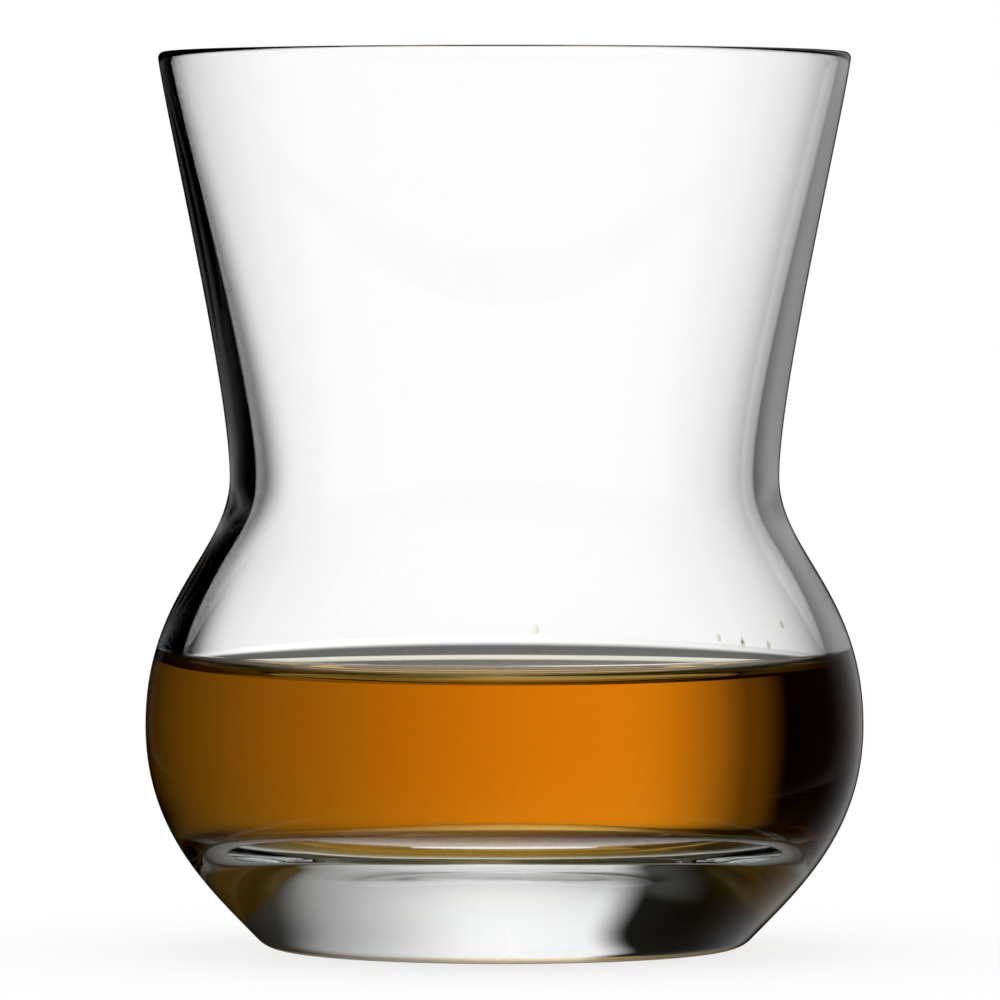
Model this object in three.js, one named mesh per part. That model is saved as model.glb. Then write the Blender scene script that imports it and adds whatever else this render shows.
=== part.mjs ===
// A thistle-shaped rocks glass with a measure of whisky in its bowl.
// Millimetres, +Z up. The glass stands on z = 0, and its axis of revolution is the Z axis.

import * as THREE from 'three';

// Outer wall: a flared mouth over a narrow waist, then a round belly that turns in to the foot
const GLASS_HEIGHT = 88;
const RIM_RADIUS = 34;
const WAIST_RADIUS = 27;
const WAIST_HEIGHT = 46.3;
const BELLY_RADIUS = 35.3;
const BELLY_HEIGHT = 21.9;
const FOOT_RADIUS = 23.4;
const FLARE_ANGLE = THREE.MathUtils.degToRad(8);
const HEEL_ANGLE = THREE.MathUtils.degToRad(46);
const HEEL_ROUND = 1.4;

// Thickness of the glass, thin at the lip and heavy in the base
const LIP_WALL = 1.2;
const WAIST_WALL = 2.55;
const BELLY_WALL = 2.6;
const PUNT_RADIUS = 16;
const PUNT_DEPTH = 1;

// The floor of the bowl: a low dome with a trough round it, as heights above the table
const FLOOR_CROWN = 13.6;
const TROUGH_HEIGHT = 11.8;
const TROUGH_RADIUS = 21;

// The pour: its level above the table, the edge that climbs the wall, and the gap that it keeps to the wall
const POUR_LEVEL = 26.6;
const MENISCUS_RISE = 2.3;
const MENISCUS_REACH = 6.5;
const POUR_CLEARANCE = 0.3;

// How far each curve runs straight on before it bends, as a share of the height or width that it spans
const FLARE_TOP_EASE = 0.15;
const FLARE_FOOT_EASE = 0.21;
const WAIST_EASE = 0.3;
const SHOULDER_EASE = 0.54;
const BELLY_EASE = 0.48;
const HEEL_EASE = 0.3;
const INNER_WAIST_EASE = 0.28;
const INNER_SHOULDER_EASE = 0.48;
const BOWL_WALL_EASE = 0.62;
const BOWL_FLOOR_EASE = 0.75;
const CROWN_EASE = 0.45;
const TROUGH_EASE = 0.35;
const MENISCUS_EDGE_EASE = 0.55;
const MENISCUS_LEVEL_EASE = 0.65;

// Fineness of the solids: steps along each curve of a section, and flats around the axis
const CURVE_STEPS = 9;
const ROUND_STEPS = 3;
const FLATS_AROUND = 64;

const clearGlass = new THREE.MeshStandardMaterial({
  name: 'clear_glass',
  color: 0xf4f7f6,
  roughness: 0.03,
  metalness: 0,
  transparent: true,
  opacity: 0.3,
});

const amberWhisky = new THREE.MeshStandardMaterial({
  name: 'amber_whisky',
  color: 0xc06a05,
  roughness: 0.02,
  metalness: 0,
  transparent: true,
  opacity: 0.8,
});

// A point in a section: distance from the axis, then height
const at = (radius, height) => new THREE.Vector2(radius, height);

// Points of one curve of a section, without its first point
const curvePoints = (curve, steps) => curve.getPoints(steps).slice(1);

// An S-shaped or round stretch that leaves start towards startPull and arrives at end from endPull
const bend = (start, startPull, endPull, end, steps = CURVE_STEPS) =>
  curvePoints(new THREE.CubicBezierCurve(start, startPull, endPull, end), steps);

// The solid of revolution of a section whose first and last points lie on the axis
function turned(name, section, material) {
  const geometry = new THREE.LatheGeometry(section, FLATS_AROUND);
  geometry.rotateX(Math.PI / 2);
  const mesh = new THREE.Mesh(geometry, material);
  mesh.name = name;
  return mesh;
}

// The lip is a half circle across the top of the wall, leaning out with the flare
const lipRadius = LIP_WALL / 2;
const lipCentre = at(RIM_RADIUS - lipRadius, GLASS_HEIGHT - lipRadius);
const flareAlong = at(Math.sin(FLARE_ANGLE), Math.cos(FLARE_ANGLE));
const flareAcross = at(Math.cos(FLARE_ANGLE), -Math.sin(FLARE_ANGLE));

// The flare, from the waist up to the lip, for the outer wall (side 1) or the inner wall (side -1)
function flare(waistRadius, side) {
  const waist = at(waistRadius, WAIST_HEIGHT);
  const top = lipCentre.clone().addScaledVector(flareAcross, side * lipRadius);
  const span = top.y - waist.y;
  const topPull = top.clone().addScaledVector(flareAlong, -FLARE_TOP_EASE * span);
  return bend(waist, at(waist.x, waist.y + FLARE_FOOT_EASE * span), topPull, top);
}

// The shoulder, from the widest part of the belly up to the waist
function shoulder(bellyRadius, waistRadius, shoulderEase, waistEase) {
  const span = WAIST_HEIGHT - BELLY_HEIGHT;
  return bend(
    at(bellyRadius, BELLY_HEIGHT),
    at(bellyRadius, BELLY_HEIGHT + shoulderEase * span),
    at(waistRadius, WAIST_HEIGHT - waistEase * span),
    at(waistRadius, WAIST_HEIGHT),
  );
}

// The underside and the outer wall, from the middle of the punt out to the foot and up to the lip
function outerSection() {
  const puntTop = at(0, PUNT_DEPTH);
  const puntEdge = at(PUNT_RADIUS, 0);
  const heelCorner = at(FOOT_RADIUS, 0);
  const heelAlong = at(Math.cos(HEEL_ANGLE), Math.sin(HEEL_ANGLE));
  const footEdge = at(FOOT_RADIUS - HEEL_ROUND, 0);
  const heel = heelCorner.clone().addScaledVector(heelAlong, HEEL_ROUND);
  const belly = at(BELLY_RADIUS, BELLY_HEIGHT);
  const punt = new THREE.QuadraticBezierCurve(puntTop, at(PUNT_RADIUS / 2, PUNT_DEPTH), puntEdge);
  return [
    puntTop,
    ...curvePoints(punt, ROUND_STEPS),
    footEdge,
    ...curvePoints(new THREE.QuadraticBezierCurve(footEdge, heelCorner, heel), ROUND_STEPS),
    ...bend(
      heel,
      heel.clone().addScaledVector(heelAlong, HEEL_EASE * BELLY_HEIGHT),
      at(belly.x, belly.y - BELLY_EASE * BELLY_HEIGHT),
      belly,
    ),
    ...shoulder(BELLY_RADIUS, WAIST_RADIUS, SHOULDER_EASE, WAIST_EASE),
    ...flare(WAIST_RADIUS, 1),
  ];
}

// The inner wall, from the middle of the floor up to the lip, drawn in by an inset
function innerSection(inset) {
  const crown = at(0, FLOOR_CROWN + inset);
  const trough = at(TROUGH_RADIUS, TROUGH_HEIGHT + inset);
  const bowlRadius = BELLY_RADIUS - BELLY_WALL - inset;
  const neckRadius = WAIST_RADIUS - WAIST_WALL - inset;
  const bowlWidth = bowlRadius - trough.x;
  const bowlHeight = BELLY_HEIGHT - trough.y;
  return [
    crown,
    ...bend(
      crown,
      at(CROWN_EASE * TROUGH_RADIUS, crown.y),
      at((1 - TROUGH_EASE) * TROUGH_RADIUS, trough.y),
      trough,
    ),
    ...bend(
      trough,
      at(trough.x + BOWL_FLOOR_EASE * bowlWidth, trough.y),
      at(bowlRadius, BELLY_HEIGHT - BOWL_WALL_EASE * bowlHeight),
      at(bowlRadius, BELLY_HEIGHT),
    ),
    ...shoulder(bowlRadius, neckRadius, INNER_SHOULDER_EASE, INNER_WAIST_EASE),
    ...flare(neckRadius, -1),
  ];
}

// The rounded top of the wall, from its outer face over to its inner face
function lipSection() {
  const lip = new THREE.EllipseCurve(
    lipCentre.x,
    lipCentre.y,
    lipRadius,
    lipRadius,
    -FLARE_ANGLE,
    Math.PI - FLARE_ANGLE,
  );
  return curvePoints(lip, 2 * ROUND_STEPS).slice(0, -1);
}

// One continuous piece of glass
function makeGlass() {
  const section = [...outerSection(), ...lipSection(), ...innerSection(0).reverse()];
  return turned('glass_body', section, clearGlass);
}

// The whisky fills the bowl up to its level, and its edge climbs the wall
function makeWhisky() {
  const edgeHeight = POUR_LEVEL + MENISCUS_RISE;
  const wall = innerSection(POUR_CLEARANCE);
  const above = wall.findIndex((point) => point.y > edgeHeight);
  const below = wall[above - 1];
  const share = (edgeHeight - below.y) / (wall[above].y - below.y);
  const edge = below.clone().lerp(wall[above], share);
  const surfaceEdge = at(edge.x - MENISCUS_REACH, POUR_LEVEL);
  const edgePull = at(edge.x, edgeHeight - MENISCUS_EDGE_EASE * MENISCUS_RISE);
  const levelPull = at(surfaceEdge.x + MENISCUS_LEVEL_EASE * MENISCUS_REACH, POUR_LEVEL);
  const section = [
    ...wall.slice(0, above),
    edge,
    ...bend(edge, edgePull, levelPull, surfaceEdge, 2 * ROUND_STEPS),
    at(0, POUR_LEVEL),
  ];
  return turned('whisky', section, amberWhisky);
}

const rocksGlass = new THREE.Group();
rocksGlass.name = 'rocks_glass';
rocksGlass.add(makeGlass(), makeWhisky());

export default rocksGlass;
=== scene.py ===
import math

import bmesh
import bpy
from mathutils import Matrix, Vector


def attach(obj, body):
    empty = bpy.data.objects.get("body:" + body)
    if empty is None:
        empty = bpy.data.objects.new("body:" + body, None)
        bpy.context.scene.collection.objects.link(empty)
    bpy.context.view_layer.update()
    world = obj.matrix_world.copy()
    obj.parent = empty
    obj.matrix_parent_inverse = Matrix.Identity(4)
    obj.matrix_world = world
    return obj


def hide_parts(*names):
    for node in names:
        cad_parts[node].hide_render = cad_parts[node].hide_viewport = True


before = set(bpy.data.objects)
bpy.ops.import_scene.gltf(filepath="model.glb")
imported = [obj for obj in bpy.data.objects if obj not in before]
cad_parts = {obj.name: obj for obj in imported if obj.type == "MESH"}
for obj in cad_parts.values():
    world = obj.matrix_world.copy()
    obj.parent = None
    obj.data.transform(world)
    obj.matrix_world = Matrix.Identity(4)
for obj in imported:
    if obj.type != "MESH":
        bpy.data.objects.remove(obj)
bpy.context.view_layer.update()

# Sizes of the glass in metres, the same as the solids'
MM = 0.001
GLASS_HEIGHT = 88 * MM
RIM_RADIUS = 34 * MM
WAIST_RADIUS = 27 * MM
WAIST_HEIGHT = 46.3 * MM
BELLY_RADIUS = 35.3 * MM
BELLY_HEIGHT = 21.9 * MM
FOOT_RADIUS = 23.4 * MM
FLARE_ANGLE = math.radians(8)
HEEL_ANGLE = math.radians(46)
HEEL_ROUND = 1.4 * MM
LIP_WALL = 1.2 * MM
WAIST_WALL = 2.55 * MM
BELLY_WALL = 2.6 * MM
TROUGH_HEIGHT = 11.8 * MM
FLOOR_CROWN = 13.6 * MM
TROUGH_RADIUS = 21 * MM
PUNT_RADIUS = 16 * MM
PUNT_DEPTH = 1 * MM
POUR_LEVEL = 26.6 * MM
MENISCUS_RISE = 2.3 * MM
MENISCUS_REACH = 6.5 * MM

# How far each curve runs straight on before it bends, as a share of the height or width that it spans
FLARE_TOP_EASE = 0.15
FLARE_FOOT_EASE = 0.21
WAIST_EASE = 0.3
SHOULDER_EASE = 0.54
BELLY_EASE = 0.48
HEEL_EASE = 0.3
INNER_WAIST_EASE = 0.28
INNER_SHOULDER_EASE = 0.48
BOWL_WALL_EASE = 0.62
BOWL_FLOOR_EASE = 0.75
MENISCUS_EDGE_EASE = 0.55
MENISCUS_LEVEL_EASE = 0.65
CROWN_EASE = 0.45
TROUGH_EASE = 0.35

# The whisky's mesh reaches this far into the wall, so that no air lies between glass and whisky
WETTING = 0.04 * MM

# Beads of whisky left on the inner wall above the pour: angle round the axis in degrees, height, and size
BEADS = (
    (84, 29.35 * MM, 0.30 * MM),
    (45, 29.4 * MM, 0.28 * MM),
    (38.5, 29.2 * MM, 0.36 * MM),
    (30, 29.2 * MM, 0.32 * MM),
    (22, 31.2 * MM, 0.30 * MM),
)
# The form of a bead, as shares of its size: depth, length along the wall, sag, and the depth of its back
BEAD_DEPTH = 0.12
BEAD_LENGTH = 1.15
BEAD_SAG = 0.35
BEAD_BACK = 0.05

# Fineness of the meshes, and the least angle between two faces that leaves a sharp edge
CURVE_STEPS = 36
PUNT_STEPS = 16
HEEL_STEPS = 12
LIP_STEPS = 14
FLATS_AROUND = 256
BEAD_SEGMENTS = 24
BEAD_RINGS = 14
SHARP_ANGLE = math.radians(60)
ON_AXIS = 1e-7

# The two materials: refraction, and the colour that light takes on as it is absorbed per metre
GLASS_IOR = 1.52
GLASS_TINT = (0.6, 0.8, 0.72, 1)
GLASS_DENSITY = 2.0
WHISKY_IOR = 1.36
WHISKY_TINT = (0.914, 0.708, 0.0, 1)
WHISKY_DENSITY = 100.0
UNCOLOURED = (1, 1, 1, 1)

# Small unevenness of the surfaces: height, features per metre, and detail
WAVE_HEIGHT = 0.03 * MM
WAVE_SCALE = 42.0
WAVE_DETAIL = 1.0
UNEVEN_HEIGHT = 0.03 * MM
UNEVEN_SCALE = 75.0
UNEVEN_DETAIL = 0.6
UNEVEN_TOP = (10 * MM, 16 * MM)
RIPPLE_HEIGHT = 0.006 * MM
RIPPLE_SCALE = 210.0
RIPPLE_DETAIL = 2.0

# How dull the surfaces are: smudges where fingers hold the glass, the worn foot, and the edge of the pour
SMUDGE_LEVEL = 0.03
SMUDGE_SCALE = 55.0
SMUDGE_DETAIL = 4.0
SMUDGE_SPREAD = (0.52, 0.75)
SMUDGE_FOOT = (35 * MM, 55 * MM)
FOOT_WEAR = 0.4
FOOT_WEAR_TOP = (0.2 * MM, 0.7 * MM)
FOOT_WEAR_INSIDE = (21.2 * MM, 21.8 * MM)
EDGE_HAZE = 0.05
EDGE_HAZE_START = 0.5

# The studio, as the glass shows it. Angles are degrees to the right of straight ahead, or above the horizon.
# A pair of angles is where a soft edge starts and ends, and a level of 1 is white.
# Behind the whisky: a soft panel, brightest at its peak and half as bright one fade to the right of it
PANEL_LEVEL = 1.3
PANEL_PEAK = -6
PANEL_FADE = 20
PANEL_TOP = (6, 14)
PANEL_TOP_LEVEL = 0.2
PANEL_FOOT = (-24, -12)
PANEL_FOOT_LEVEL = 0.12
# The flag at the panel's left leans with height from a start, and a glow shows at its edge
FLAG_EDGE = (-28, -8)
FLAG_LEAN = 1.4
FLAG_LEAN_START = 5
FLAG_GLOW_EDGE = (-31, -24)
FLAG_GLOW = 0.13
# Behind clear glass: a flatter panel with a harder flag, and a dim strip to the left of that
CLEAR_LEVEL = 1.14
CLEAR_PEAK = 1
CLEAR_FADE = 23
CLEAR_EDGE = (-21, -9)
CLEAR_STRIP = (-31, -25)
CLEAR_STRIP_LEVEL = 0.2
# Around the glass: the ceiling, the sides of the room, the table off to each side, and a streak on it
CEILING_EDGE = (30, 55)
CEILING_LEVEL = 0.75
ROOM_EDGE = (68, 80)
TABLE_EDGE = (-17, -12)
TABLE_SIDES = (22, 34)
STREAK_FOOT = (-46, -42)
STREAK_TOP = (-38, -36)
# What light shows that has bounced in the base: the panel between two edges, and a dim part by its flag
BASE_EDGE = (-22, -13.5)
BASE_TOP = (22, 38)
BASE_TOP_LEVEL = 0.7
BASE_RIGHT = (30, 46)
BASE_RIGHT_LEVEL = 0.1
DIM_EDGE = (-36, -20)
DIM_LEVEL = 0.1
DIM_FOOT = (9, 17)
DIM_FOOT_LEVEL = 0.1
# The same for the sides of the room, and for a window high on the right that whisky takes most of
SIDE_LEVEL = 0.6
LEFT_SIDE = (-104, -82)
RIGHT_SIDE = (74, 96)
WINDOW_LEVEL = 0.9
WINDOW_EDGE = (50, 62)
WINDOW_FOOT = (14, 24)
WINDOW_LOSS = 0.9
# The same inside a thin wall, and in whisky, where it is dim all round and lighter straight ahead
WALL_LEVEL = 0.32
WALL_EDGE = (-14, -2)
WALL_RIGHT = (20, 45)
WALL_RIGHT_LEVEL = 0.35
WET_LEVEL = 0.1
AHEAD_LEVEL = 0.3
AHEAD_EDGE = (-12, 0)
AHEAD_RIGHT = (26, 36)
# What the outer faces mirror: a strip of the panel
MIRROR_LEVEL = 0.65
MIRROR_EDGE = (8, 18)
MIRROR_RIGHT = (22, 55)
# How many faces light has crossed: fewer than the first in a thin wall, and more than the second in whisky
THIN_CROSSINGS = 2.5
WET_CROSSINGS = 4.5

# The floor: a pale disc just under the foot, which shows most by the glass and fades out
FLOOR_RADIUS = 0.6
FLOOR_SEGMENTS = 96
FLOOR_DROP = 0.3 * MM
FLOOR_COLOUR = (0.98, 0.98, 0.98, 1)
FLOOR_ROUGHNESS = 0.9
FLOOR_SHOWN = 0.22
FLOOR_FADE = (26 * MM, 80 * MM)

# Camera: its distance from the axis and height above the table, where it looks, and the width that it frames
CAMERA_DISTANCE = 0.917
CAMERA_HEIGHT = 0.069
AIM_HEIGHT = 0.0440
AIM_RIGHT = -0.00044
FRAME_WIDTH = 0.0983
SENSOR_WIDTH = 36.0
CLIP_NEAR = 0.1
CLIP_FAR = 20

# How often light may bounce, enough for the many faces of glass and whisky
ALL_BOUNCES = 32
GLOSSY_BOUNCES = 16


def at(radius, height):
    """A point in a section: distance from the axis, then height."""
    return Vector((radius, height))


def bezier(start, start_pull, end_pull, end):
    """A stretch that leaves start towards start_pull and arrives from end_pull, without its first point."""
    points = []
    for i in range(1, CURVE_STEPS + 1):
        t = i / CURVE_STEPS
        s = 1 - t
        first = start * s ** 3 + start_pull * (3 * s * s * t)
        second = end_pull * (3 * s * t * t) + end * t ** 3
        points.append(first + second)
    return points


def quadratic(start, corner, end, steps):
    """A stretch that rounds off a corner, without its first point."""
    points = []
    for i in range(1, steps + 1):
        t = i / steps
        points.append(start * (1 - t) ** 2 + corner * (2 * t * (1 - t)) + end * t * t)
    return points


# The lip is a half circle across the top of the wall, leaning out with the flare
lip_radius = LIP_WALL / 2
lip_centre = at(RIM_RADIUS - lip_radius, GLASS_HEIGHT - lip_radius)
flare_along = at(math.sin(FLARE_ANGLE), math.cos(FLARE_ANGLE))
flare_across = at(math.cos(FLARE_ANGLE), -math.sin(FLARE_ANGLE))


def flare(waist_radius, side):
    """From the waist up to the lip, for the outer wall (side 1) or the inner wall (side -1)."""
    waist = at(waist_radius, WAIST_HEIGHT)
    top = lip_centre + flare_across * (side * lip_radius)
    span = top.y - waist.y
    return bezier(
        waist,
        at(waist.x, waist.y + FLARE_FOOT_EASE * span),
        top - flare_along * (FLARE_TOP_EASE * span),
        top,
    )


def shoulder(belly_radius, waist_radius, shoulder_ease, waist_ease):
    """From the widest part of the belly up to the waist."""
    span = WAIST_HEIGHT - BELLY_HEIGHT
    return bezier(
        at(belly_radius, BELLY_HEIGHT),
        at(belly_radius, BELLY_HEIGHT + shoulder_ease * span),
        at(waist_radius, WAIST_HEIGHT - waist_ease * span),
        at(waist_radius, WAIST_HEIGHT),
    )


def outer_section():
    """The underside and the outer wall, from the middle of the punt out to the foot and up to the lip."""
    punt_top = at(0, PUNT_DEPTH)
    punt_edge = at(PUNT_RADIUS, 0)
    heel_corner = at(FOOT_RADIUS, 0)
    heel_along = at(math.cos(HEEL_ANGLE), math.sin(HEEL_ANGLE))
    foot_edge = at(FOOT_RADIUS - HEEL_ROUND, 0)
    heel = heel_corner + heel_along * HEEL_ROUND
    belly = at(BELLY_RADIUS, BELLY_HEIGHT)
    return [
        punt_top,
        *quadratic(punt_top, at(PUNT_RADIUS / 2, PUNT_DEPTH), punt_edge, PUNT_STEPS),
        foot_edge,
        *quadratic(foot_edge, heel_corner, heel, HEEL_STEPS),
        *bezier(
            heel,
            heel + heel_along * (HEEL_EASE * BELLY_HEIGHT),
            at(belly.x, belly.y - BELLY_EASE * BELLY_HEIGHT),
            belly,
        ),
        *shoulder(BELLY_RADIUS, WAIST_RADIUS, SHOULDER_EASE, WAIST_EASE),
        *flare(WAIST_RADIUS, 1),
    ]


def inner_section(outset=0.0):
    """The inner wall, from the middle of the floor up to the lip, moved into the glass by an outset."""
    crown = at(0, FLOOR_CROWN - outset)
    trough = at(TROUGH_RADIUS, TROUGH_HEIGHT - outset)
    bowl_radius = BELLY_RADIUS - BELLY_WALL + outset
    neck_radius = WAIST_RADIUS - WAIST_WALL + outset
    bowl_height = BELLY_HEIGHT - trough.y
    return [
        crown,
        *bezier(
            crown,
            at(CROWN_EASE * trough.x, crown.y),
            at((1 - TROUGH_EASE) * trough.x, trough.y),
            trough,
        ),
        *bezier(
            trough,
            at(trough.x + BOWL_FLOOR_EASE * (bowl_radius - trough.x), trough.y),
            at(bowl_radius, BELLY_HEIGHT - BOWL_WALL_EASE * bowl_height),
            at(bowl_radius, BELLY_HEIGHT),
        ),
        *shoulder(bowl_radius, neck_radius, INNER_SHOULDER_EASE, INNER_WAIST_EASE),
        *flare(neck_radius, -1),
    ]


def lip_section():
    """The rounded top of the wall, between its outer face and its inner face."""
    points = []
    for i in range(1, LIP_STEPS):
        a = -FLARE_ANGLE + math.pi * i / LIP_STEPS
        points.append(lip_centre + at(math.cos(a), math.sin(a)) * lip_radius)
    return points


def wall_at(wall, height):
    """Where a wall reaches a height: the index of its next point, the place, and the way up the wall."""
    above = next(i for i, p in enumerate(wall) if p.y > height)
    low, high = wall[above - 1], wall[above]
    place = low.lerp(high, (height - low.y) / (high.y - low.y))
    return above, place, (high - low).normalized()


def add_object(name, bm, dryness, material):
    """An object of a closed mesh, shaded smooth across all but its sharp edges.

    Each point has a dryness: 1 where it meets air, 0 where glass and whisky touch.
    """
    bmesh.ops.recalc_face_normals(bm, faces=bm.faces)
    bm.normal_update()
    for face in bm.faces:
        face.smooth = True
    for edge in bm.edges:
        edge.smooth = edge.calc_face_angle(0) < SHARP_ANGLE
    mesh = bpy.data.meshes.new(name)
    bm.to_mesh(mesh)
    bm.free()
    mesh.attributes.new("dry", "FLOAT", "POINT").data.foreach_set("value", dryness)
    mesh.materials.append(material)
    obj = bpy.data.objects.new(name, mesh)
    bpy.context.scene.collection.objects.link(obj)
    return obj


def lathe(name, section, dry, material):
    """The solid of revolution of a section that starts and ends on the axis, with a dryness per point."""
    bm = bmesh.new()
    rings = []
    dryness = []
    for p, d in zip(section, dry):
        if p.x < ON_AXIS:
            ring = [bm.verts.new((0, 0, p.y))]
        else:
            angles = [2 * math.pi * k / FLATS_AROUND for k in range(FLATS_AROUND)]
            ring = [bm.verts.new((p.x * math.cos(a), p.x * math.sin(a), p.y)) for a in angles]
        rings.append(ring)
        dryness.extend([d] * len(ring))
    for low, high in zip(rings, rings[1:]):
        for k in range(FLATS_AROUND):
            n = (k + 1) % FLATS_AROUND
            if len(low) == 1:
                bm.faces.new((low[0], high[n], high[k]))
            elif len(high) == 1:
                bm.faces.new((low[k], low[n], high[0]))
            else:
                bm.faces.new((low[k], low[n], high[n], high[k]))
    return add_object(name, bm, dryness, material)


class Nodes:
    """Short ways to add maths to a node tree."""

    def __init__(self, tree):
        self.tree = tree

    def math(self, operation, *values):
        node = self.tree.nodes.new("ShaderNodeMath")
        node.operation = operation
        for socket, value in zip(node.inputs, values):
            if isinstance(value, bpy.types.NodeSocket):
                self.tree.links.new(value, socket)
            else:
                socket.default_value = value
        return node.outputs[0]

    def product(self, first, *others):
        for value in others:
            first = self.math("MULTIPLY", first, value)
        return first

    def brightest(self, first, *others):
        for value in others:
            first = self.math("MAXIMUM", first, value)
        return first

    def choose(self, share, off, on):
        """Off where the share is 0, on where it is 1, and a blend between."""
        return self.math("MULTIPLY_ADD", self.math("SUBTRACT", on, off), share, off)

    def ramp(self, value, edge, start_level, end_level):
        """One level before a soft edge, and another after it."""
        node = self.tree.nodes.new("ShaderNodeMapRange")
        node.interpolation_type = "SMOOTHSTEP"
        self.tree.links.new(value, node.inputs["Value"])
        numbers = (*edge, start_level, end_level)
        for name, number in zip(("From Min", "From Max", "To Min", "To Max"), numbers):
            node.inputs[name].default_value = number
        return node.outputs["Result"]

    def falling(self, angle, level, peak, fade):
        """A level that falls off to the right of its peak, to half at one fade from it."""
        away = self.math("MAXIMUM", self.math("MULTIPLY_ADD", angle, 1 / fade, -peak / fade), 0.0)
        return self.math("DIVIDE", level, self.math("MULTIPLY_ADD", away, away, 1.0))

    def noise(self, place, scale, detail):
        node = self.tree.nodes.new("ShaderNodeTexNoise")
        self.tree.links.new(place, node.inputs["Vector"])
        node.inputs["Scale"].default_value = scale
        node.inputs["Detail"].default_value = detail
        return node.outputs["Fac"]

    def split(self, vector):
        node = self.tree.nodes.new("ShaderNodeSeparateXYZ")
        self.tree.links.new(vector, node.inputs[0])
        return node.outputs


def new_material(name):
    material = bpy.data.materials.new(name)
    material.use_nodes = True
    return material, material.node_tree, material.node_tree.nodes["Principled BSDF"]


def object_place(tree):
    return tree.nodes.new("ShaderNodeTexCoord").outputs["Object"]


def wall_height(n, place):
    """The heights that bend light in small ways: slow waves of the wall, and an uneven base."""
    z = n.split(place)[2]
    slow = n.noise(place, WAVE_SCALE, WAVE_DETAIL)
    uneven = n.product(n.noise(place, UNEVEN_SCALE, UNEVEN_DETAIL), n.ramp(z, UNEVEN_TOP, 1, 0))
    return n.math("MULTIPLY_ADD", uneven, UNEVEN_HEIGHT, n.product(slow, WAVE_HEIGHT))


def add_bump(tree, shader, height):
    bump = tree.nodes.new("ShaderNodeBump")
    bump.inputs["Strength"].default_value = 1.0
    bump.inputs["Distance"].default_value = 1.0
    tree.links.new(height, bump.inputs["Height"])
    tree.links.new(bump.outputs["Normal"], shader.inputs["Normal"])


def make_clear(tree, shader, ior, tint, density):
    """Let light through, absorb some on the way, and reflect it only on dry faces. Gives back the dryness."""
    shader.inputs["Base Color"].default_value = UNCOLOURED
    shader.inputs["IOR"].default_value = ior
    shader.inputs["Transmission Weight"].default_value = 1.0
    absorb = tree.nodes.new("ShaderNodeVolumeAbsorption")
    absorb.inputs["Color"].default_value = tint
    absorb.inputs["Density"].default_value = density
    tree.links.new(absorb.outputs["Volume"], tree.nodes["Material Output"].inputs["Volume"])
    dry = tree.nodes.new("ShaderNodeAttribute")
    dry.attribute_name = "dry"
    tree.links.new(dry.outputs["Fac"], shader.inputs["Specular Tint"])
    return dry.outputs["Fac"]


def glass_material():
    material, tree, shader = new_material("clear_glass")
    make_clear(tree, shader, GLASS_IOR, GLASS_TINT, GLASS_DENSITY)
    n = Nodes(tree)
    place = object_place(tree)
    add_bump(tree, shader, wall_height(n, place))
    # Polished all over, with faint smudges where fingers hold it and a worn ring on the foot
    x, y, z = n.split(place)
    radius = n.math("SQRT", n.math("MULTIPLY_ADD", x, x, n.product(y, y)))
    marks = n.noise(place, SMUDGE_SCALE, SMUDGE_DETAIL)
    smudge = n.product(n.ramp(marks, SMUDGE_SPREAD, 0, SMUDGE_LEVEL), n.ramp(z, SMUDGE_FOOT, 0, 1))
    worn = n.product(n.ramp(z, FOOT_WEAR_TOP, FOOT_WEAR, 0), n.ramp(radius, FOOT_WEAR_INSIDE, 0, 1))
    tree.links.new(n.brightest(smudge, worn), shader.inputs["Roughness"])
    return material


def whisky_material():
    material, tree, shader = new_material("amber_whisky")
    dry = make_clear(tree, shader, WHISKY_IOR, WHISKY_TINT, WHISKY_DENSITY)
    n = Nodes(tree)
    place = object_place(tree)
    # The wetted face follows the wall's waves, and the open surface has ripples of its own
    ripple = n.product(n.noise(place, RIPPLE_SCALE, RIPPLE_DETAIL), RIPPLE_HEIGHT)
    add_bump(tree, shader, n.choose(dry, wall_height(n, place), ripple))
    # The thin edge of the meniscus is a little less clear than the rest
    edge = (POUR_LEVEL + EDGE_HAZE_START * MENISCUS_RISE, POUR_LEVEL + MENISCUS_RISE)
    haze = n.product(n.ramp(n.split(place)[2], edge, 0, EDGE_HAZE), dry)
    tree.links.new(haze, shader.inputs["Roughness"])
    return material


def make_glass():
    outside = [*outer_section(), *lip_section()]
    inside = list(reversed(inner_section()))
    dry = [1] * len(outside) + [1 if p.y > POUR_LEVEL + MENISCUS_RISE else 0 for p in inside]
    obj = lathe("rocks_glass", [*outside, *inside], dry, glass_material())
    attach(obj, "glass")
    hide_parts("glass_body")


def make_whisky(material):
    wall = inner_section(WETTING)
    above, edge, along = wall_at(wall, POUR_LEVEL + MENISCUS_RISE)
    surface_edge = at(edge.x - MENISCUS_REACH, POUR_LEVEL)
    meniscus = bezier(
        edge,
        edge - along * (MENISCUS_EDGE_EASE * MENISCUS_RISE),
        at(surface_edge.x + MENISCUS_LEVEL_EASE * MENISCUS_REACH, POUR_LEVEL),
        surface_edge,
    )
    wetted = [*wall[:above], edge]
    surface = [*meniscus, at(0, POUR_LEVEL)]
    dry = [0] * len(wetted) + [1] * len(surface)
    obj = lathe("whisky_pour", [*wetted, *surface], dry, material)
    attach(obj, "pour")
    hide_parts("whisky")


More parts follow.
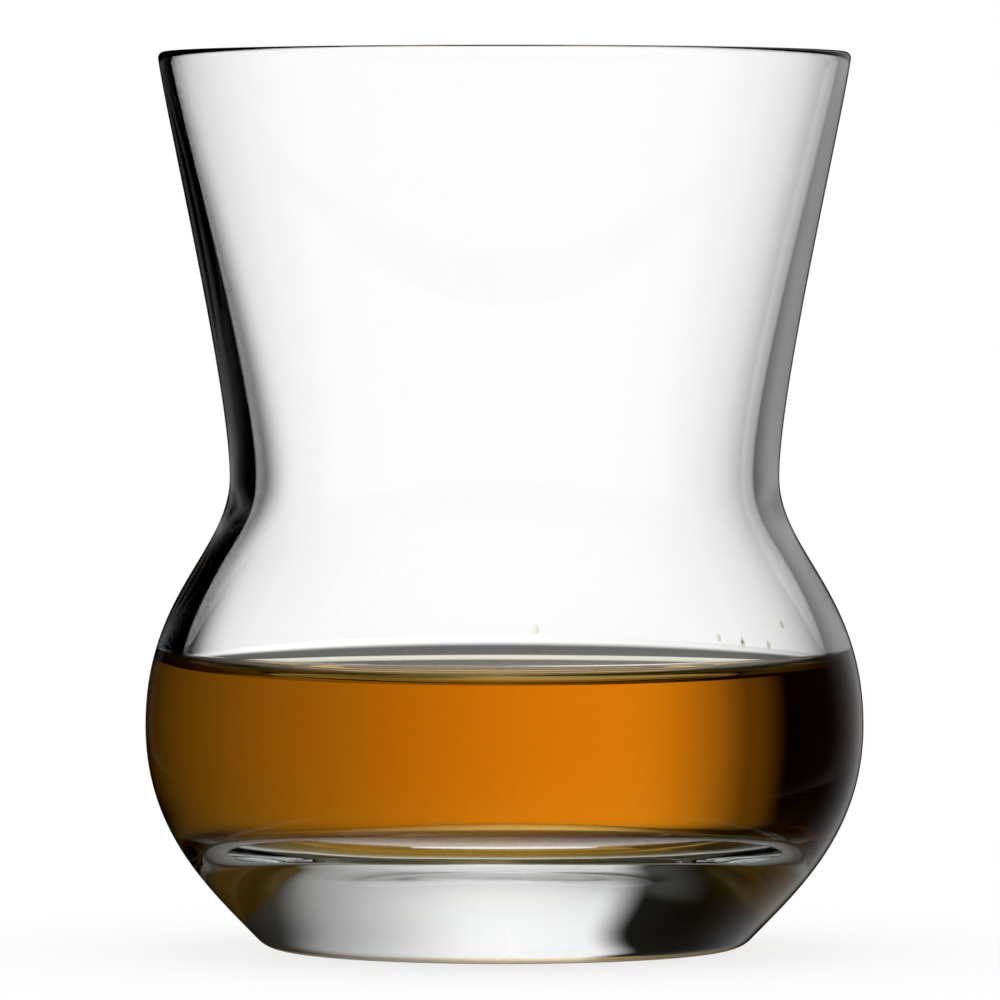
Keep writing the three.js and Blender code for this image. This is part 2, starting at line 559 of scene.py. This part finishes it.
def make_beads(material):
    """Small drops that cling to the dry wall, flattened against it and a little wider below."""
    wall = inner_section(WETTING)
    for k, (angle, height, size) in enumerate(BEADS):
        _, foot, along = wall_at(wall, height)
        a = math.radians(angle)
        out = Vector((math.cos(a), math.sin(a), 0))
        across = Vector((-math.sin(a), math.cos(a), 0))
        up = out * along.x + Vector((0, 0, along.y))
        inward = up.cross(across)
        centre = out * foot.x + Vector((0, 0, foot.y))
        bm = bmesh.new()
        bmesh.ops.create_uvsphere(bm, u_segments=BEAD_SEGMENTS, v_segments=BEAD_RINGS, radius=1)
        for v in bm.verts:
            x, y, z = v.co
            wide = size * (1 - BEAD_SAG * y * (1 - z * z))
            deep = BEAD_DEPTH * size * (z if z > 0 else BEAD_BACK * z)
            v.co = centre + across * (x * wide) + up * (y * size * BEAD_LENGTH) + inward * deep
        obj = add_object("bead_%02d" % k, bm, [1.0] * len(bm.verts), material)
        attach(obj, "glass")


def panel_behind_whisky(n, azimuth, elevation, panel_fade):
    lean = n.math("MULTIPLY_ADD", elevation, FLAG_LEAN, -FLAG_LEAN_START * FLAG_LEAN)
    leaning = n.math("ADD", azimuth, n.math("MAXIMUM", lean, 0.0))
    flag = n.brightest(n.ramp(leaning, FLAG_EDGE, 0, 1), n.ramp(azimuth, FLAG_GLOW_EDGE, 0, FLAG_GLOW))
    top = n.ramp(elevation, PANEL_TOP, 1, PANEL_TOP_LEVEL)
    foot = n.ramp(elevation, PANEL_FOOT, PANEL_FOOT_LEVEL, 1)
    return n.product(flag, panel_fade, top, foot)


def panel_behind_glass(n, azimuth, clear_fade):
    panel = n.product(n.ramp(azimuth, CLEAR_EDGE, 0, 1), clear_fade)
    return n.brightest(panel, n.ramp(azimuth, CLEAR_STRIP, CLEAR_STRIP_LEVEL, 0))


def room_around(n, azimuth, elevation):
    aside = n.math("ABSOLUTE", azimuth)
    table = n.product(n.ramp(elevation, TABLE_EDGE, 1, 0), n.ramp(aside, TABLE_SIDES, 0, 1))
    streak = n.product(n.ramp(elevation, STREAK_FOOT, 0, 1), n.ramp(elevation, STREAK_TOP, 1, 0))
    return n.brightest(n.ramp(aside, ROOM_EDGE, 0, 1), table, streak)


def bounced_inside(n, azimuth, elevation, wet, thin, clear_fade, ceiling):
    """What light shows that has bounced in the base, in a thin wall or in the whisky."""
    dim = n.product(n.ramp(azimuth, DIM_EDGE, 0, DIM_LEVEL), n.ramp(elevation, DIM_FOOT, DIM_FOOT_LEVEL, 1))
    base = n.brightest(n.product(n.ramp(azimuth, BASE_EDGE, 0, 1), clear_fade), dim)
    base = n.product(base, n.ramp(azimuth, BASE_RIGHT, 1, BASE_RIGHT_LEVEL))
    base = n.product(base, n.ramp(elevation, BASE_TOP, 1, BASE_TOP_LEVEL))
    left_side = n.ramp(azimuth, LEFT_SIDE, SIDE_LEVEL, 0)
    right_side = n.ramp(azimuth, RIGHT_SIDE, 0, SIDE_LEVEL)
    thick = n.brightest(base, ceiling, left_side, right_side)
    wall_right = n.ramp(azimuth, WALL_RIGHT, 1, WALL_RIGHT_LEVEL)
    wall = n.product(n.ramp(azimuth, WALL_EDGE, 0, WALL_LEVEL), wall_right)
    bounced = n.choose(thin, thick, n.brightest(wall, ceiling))
    ahead = n.product(n.ramp(azimuth, AHEAD_EDGE, 0, AHEAD_LEVEL), n.ramp(azimuth, AHEAD_RIGHT, 1, 0))
    bounced = n.product(bounced, n.choose(wet, 1.0, n.math("ADD", ahead, WET_LEVEL)))
    window = n.product(n.ramp(azimuth, WINDOW_EDGE, 0, WINDOW_LEVEL), n.ramp(elevation, WINDOW_FOOT, 0, 1))
    window_shown = n.math("SUBTRACT", 1.0, n.math("MULTIPLY_ADD", wet, WINDOW_LOSS, thin))
    return n.brightest(bounced, n.product(window, window_shown))


def make_world():
    """White to the camera, and to the glass a studio that depends on the way light took through it."""
    world = bpy.data.worlds.new("studio")
    bpy.context.scene.world = world
    world.use_nodes = True
    tree = world.node_tree
    n = Nodes(tree)
    x, y, z = n.split(tree.nodes.new("ShaderNodeTexCoord").outputs["Generated"])
    azimuth = n.math("DEGREES", n.math("ARCTAN2", x, y))
    elevation = n.math("DEGREES", n.math("ARCSINE", z))
    path = tree.nodes.new("ShaderNodeLightPath").outputs
    wet = n.math("GREATER_THAN", path["Transmission Depth"], WET_CROSSINGS)
    thin = n.math("LESS_THAN", path["Transmission Depth"], THIN_CROSSINGS)
    has_bounced = n.math("GREATER_THAN", path["Glossy Depth"], 0.5)
    ceiling = n.ramp(elevation, CEILING_EDGE, 0, CEILING_LEVEL)
    panel_fade = n.falling(azimuth, PANEL_LEVEL, PANEL_PEAK, PANEL_FADE)
    clear_fade = n.falling(azimuth, CLEAR_LEVEL, CLEAR_PEAK, CLEAR_FADE)
    behind_glass = panel_behind_glass(n, azimuth, clear_fade)
    behind_whisky = panel_behind_whisky(n, azimuth, elevation, panel_fade)
    behind = n.choose(wet, behind_glass, behind_whisky)
    straight = n.brightest(behind, room_around(n, azimuth, elevation), ceiling)
    bounced = bounced_inside(n, azimuth, elevation, wet, thin, clear_fade, ceiling)
    through = n.choose(has_bounced, straight, bounced)
    strip = n.product(n.ramp(azimuth, MIRROR_EDGE, 0, MIRROR_LEVEL), n.ramp(azimuth, MIRROR_RIGHT, 1, 0))
    studio = n.choose(path["Is Transmission Ray"], n.product(strip, panel_fade), through)
    level = n.choose(path["Is Glossy Ray"], 1.0, studio)
    combine = tree.nodes.new("ShaderNodeCombineColor")
    for socket in combine.inputs:
        tree.links.new(level, socket)
    background = tree.nodes["Background"]
    tree.links.new(combine.outputs[0], background.inputs["Color"])
    background.inputs["Strength"].default_value = 1.0


def make_floor():
    """A disc that catches the shadow of the glass, and that the glass itself doesn't show."""
    mesh = bpy.data.meshes.new("floor")
    bm = bmesh.new()
    bmesh.ops.create_circle(bm, cap_ends=True, radius=FLOOR_RADIUS, segments=FLOOR_SEGMENTS)
    bm.to_mesh(mesh)
    bm.free()
    obj = bpy.data.objects.new("floor", mesh)
    obj.location.z = -FLOOR_DROP
    bpy.context.scene.collection.objects.link(obj)
    material, tree, shader = new_material("pale_floor")
    shader.inputs["Base Color"].default_value = FLOOR_COLOUR
    shader.inputs["Roughness"].default_value = FLOOR_ROUGHNESS
    shader.inputs["Specular IOR Level"].default_value = 0.0
    length = tree.nodes.new("ShaderNodeVectorMath")
    length.operation = "LENGTH"
    tree.links.new(object_place(tree), length.inputs[0])
    shown = Nodes(tree).ramp(length.outputs["Value"], FLOOR_FADE, FLOOR_SHOWN, 0)
    tree.links.new(shown, shader.inputs["Alpha"])
    mesh.materials.append(material)
    obj.visible_glossy = False
    obj.visible_transmission = False


def make_camera():
    camera = bpy.data.cameras.new("camera")
    camera.sensor_width = SENSOR_WIDTH
    camera.sensor_fit = "HORIZONTAL"
    place = Vector((AIM_RIGHT, -CAMERA_DISTANCE, CAMERA_HEIGHT))
    aim = Vector((AIM_RIGHT, 0, AIM_HEIGHT))
    camera.lens = SENSOR_WIDTH * (aim - place).length / FRAME_WIDTH
    camera.clip_start = CLIP_NEAR
    camera.clip_end = CLIP_FAR
    obj = bpy.data.objects.new("camera", camera)
    obj.location = place
    obj.rotation_euler = (aim - place).to_track_quat("-Z", "Y").to_euler()
    bpy.context.scene.collection.objects.link(obj)
    bpy.context.scene.camera = obj


make_camera()
make_world()
make_floor()
make_glass()
whisky = whisky_material()
make_whisky(whisky)
make_beads(whisky)

scene = bpy.context.scene
scene.view_settings.view_transform = "Standard"
scene.cycles.max_bounces = ALL_BOUNCES
scene.cycles.transmission_bounces = ALL_BOUNCES
scene.cycles.transparent_max_bounces = ALL_BOUNCES
scene.cycles.glossy_bounces = GLOSSY_BOUNCES
